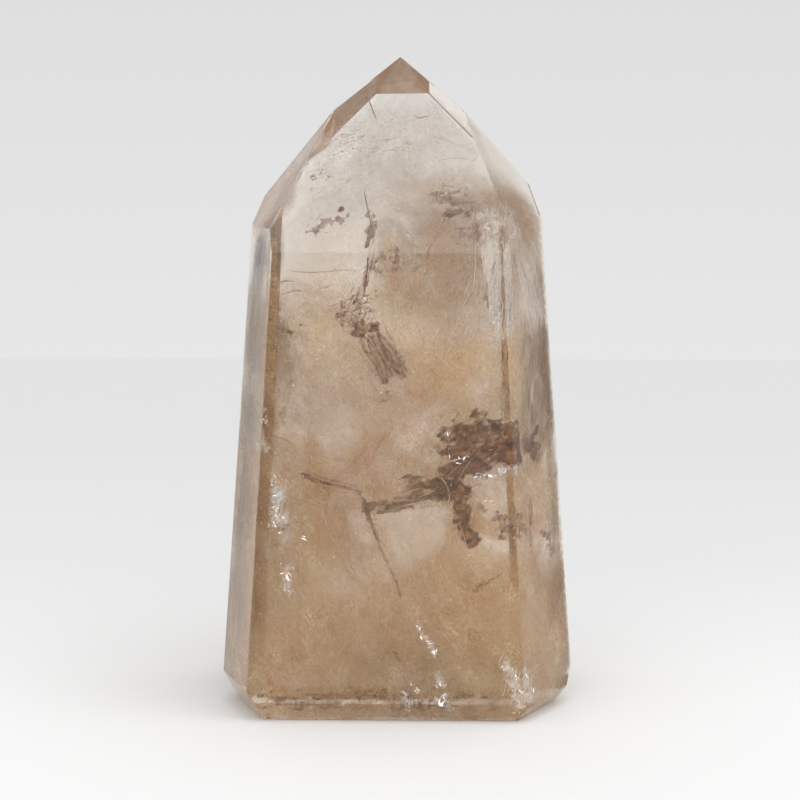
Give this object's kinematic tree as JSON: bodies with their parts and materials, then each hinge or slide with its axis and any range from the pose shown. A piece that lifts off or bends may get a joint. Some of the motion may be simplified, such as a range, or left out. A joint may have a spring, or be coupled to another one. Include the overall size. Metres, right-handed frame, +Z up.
{
  "type": "polished smoky citrine crystal point",
  "caption": "Polished natural quartz point on a flat cut foot: a tapering faceted tower, clear smoky golden brown, for display on a shelf or desk.",
  "frame": {"origin": "middle of the foot, on the surface that the stone stands on", "axes": "+Z up towards the tip, +X to the right seen from the broad front face, which looks along -Y"},
  "size_m": [0.0902, 0.0558, 0.1655],
  "materials": {
    "smoky_quartz": "clear smoky golden-brown quartz with a high polish, natural veils and healed fractures inside"
  },
  "bodies": {
    "root": {"crystal": "smoky_quartz"}
  },
  "joints": []
}
